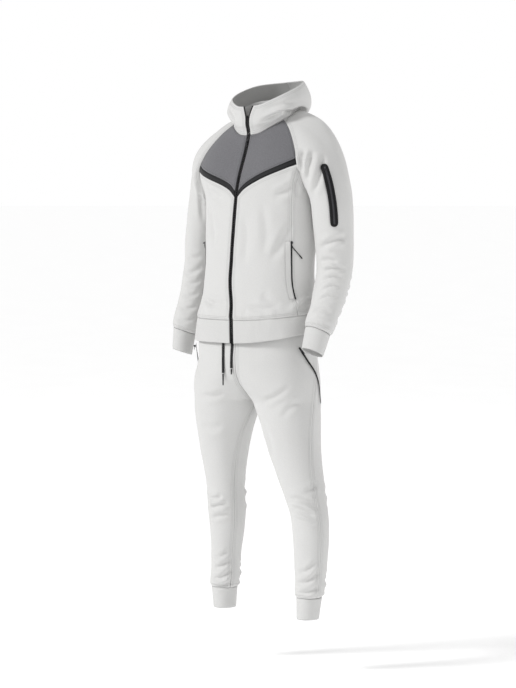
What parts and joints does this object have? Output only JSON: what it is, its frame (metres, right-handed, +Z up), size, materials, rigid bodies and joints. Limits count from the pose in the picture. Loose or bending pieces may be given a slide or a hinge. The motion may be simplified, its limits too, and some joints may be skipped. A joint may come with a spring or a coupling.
{
  "type": "tracksuit",
  "caption": "Zip-up hooded tracksuit in its worn form, empty: raglan jacket with a chest chevron and hood worn down, over cuffed joggers with hanging drawstrings.",
  "frame": {"origin": "middle of the neck opening at the neck seam's height, where the wearer's neck and shoulders hold the suit", "axes": "+Z up, +X to the wearer's left, -Y to the front"},
  "size_m": [0.5939, 0.2925, 1.5254],
  "materials": {
    "light_fleece": "matt double-knit fleece",
    "smooth_band": "smooth matt knit",
    "dark_yoke": "smooth matt knit",
    "black_tape": "bonded tape, satin",
    "zip_tape": "woven tape",
    "zip_teeth": "coil, satin",
    "grey_zip": "woven tape with coil",
    "black_cord": "braided cord",
    "cord_tip": "satin",
    "zip_metal": "black, satin"
  },
  "bodies": {
    "suit": {"jacket_front_left": "light_fleece", "jacket_front_right": "light_fleece", "jacket_side_left": "light_fleece", "jacket_side_right": "light_fleece", "jacket_back": "light_fleece", "sleeve_left": "light_fleece", "sleeve_right": "light_fleece", "hood_left": "light_fleece", "hood_right": "light_fleece", "leg_front_left": "light_fleece", "leg_front_right": "light_fleece", "leg_back_left": "light_fleece", "leg_back_right": "light_fleece", "hem_band": "smooth_band", "cuff_left": "smooth_band", "cuff_right": "smooth_band", "ankle_cuff_left": "smooth_band", "ankle_cuff_right": "smooth_band", "waistband": "smooth_band", "side_pocket_welt_left": "smooth_band", "side_pocket_welt_right": "smooth_band", "yoke_left": "dark_yoke", "yoke_right": "dark_yoke", "chest_tape_left": "black_tape", "chest_tape_right": "black_tape", "sleeve_pocket_surround": "black_tape", "zip_tape_left": "zip_tape", "zip_tape_right": "zip_tape", "side_pocket_zip_left": "zip_tape", "side_pocket_zip_right": "zip_tape", "leg_pocket_zip_left": "zip_tape", "leg_pocket_zip_right": "zip_tape", "zip_chain": "zip_teeth", "sleeve_pocket_zip": "grey_zip", "drawstring_left": "black_cord", "drawstring_right": "black_cord", "side_pocket_cord_left": "black_cord", "side_pocket_cord_right": "black_cord", "drawstring_tip_left": "cord_tip", "drawstring_tip_right": "cord_tip", "front_zip_slider": "zip_metal", "sleeve_pocket_slider": "zip_metal", "leg_pocket_left_slider": "zip_metal", "leg_pocket_right_slider": "zip_metal", "side_pocket_left_slider": "zip_metal", "side_pocket_right_slider": "zip_metal"},
    "front_zip_tab": {"front_zip_pull": "zip_metal"},
    "sleeve_zip_tab": {"sleeve_pocket_pull": "zip_metal"},
    "left_leg_zip_tab": {"leg_pocket_left_pull": "zip_metal"},
    "right_leg_zip_tab": {"leg_pocket_right_pull": "zip_metal"}
  },
  "joints": [
    {"name": "front_zip_tab_turn", "type": "hinge", "parent": "suit", "child": "front_zip_tab", "pos_m": [-0.0013, -0.084, -0.053], "axis": [-0.9925, 0.1164, 0.0372], "range_deg": [0, 150]},
    {"name": "sleeve_zip_tab_turn", "type": "hinge", "parent": "suit", "child": "sleeve_zip_tab", "pos_m": [0.2509, -0.0787, -0.1324], "axis": [-0.6589, -0.6992, -0.2774], "range_deg": [0, 150]},
    {"name": "left_leg_zip_tab_turn", "type": "hinge", "parent": "suit", "child": "left_leg_zip_tab", "pos_m": [0.1637, -0.0581, -0.6418], "axis": [-0.4185, -0.6809, -0.601], "range_deg": [0, 150]},
    {"name": "right_leg_zip_tab_turn", "type": "hinge", "parent": "suit", "child": "right_leg_zip_tab", "pos_m": [-0.1917, -0.0581, -0.6418], "axis": [-0.4208, 0.6797, 0.6008], "range_deg": [0, 150]}
  ]
}
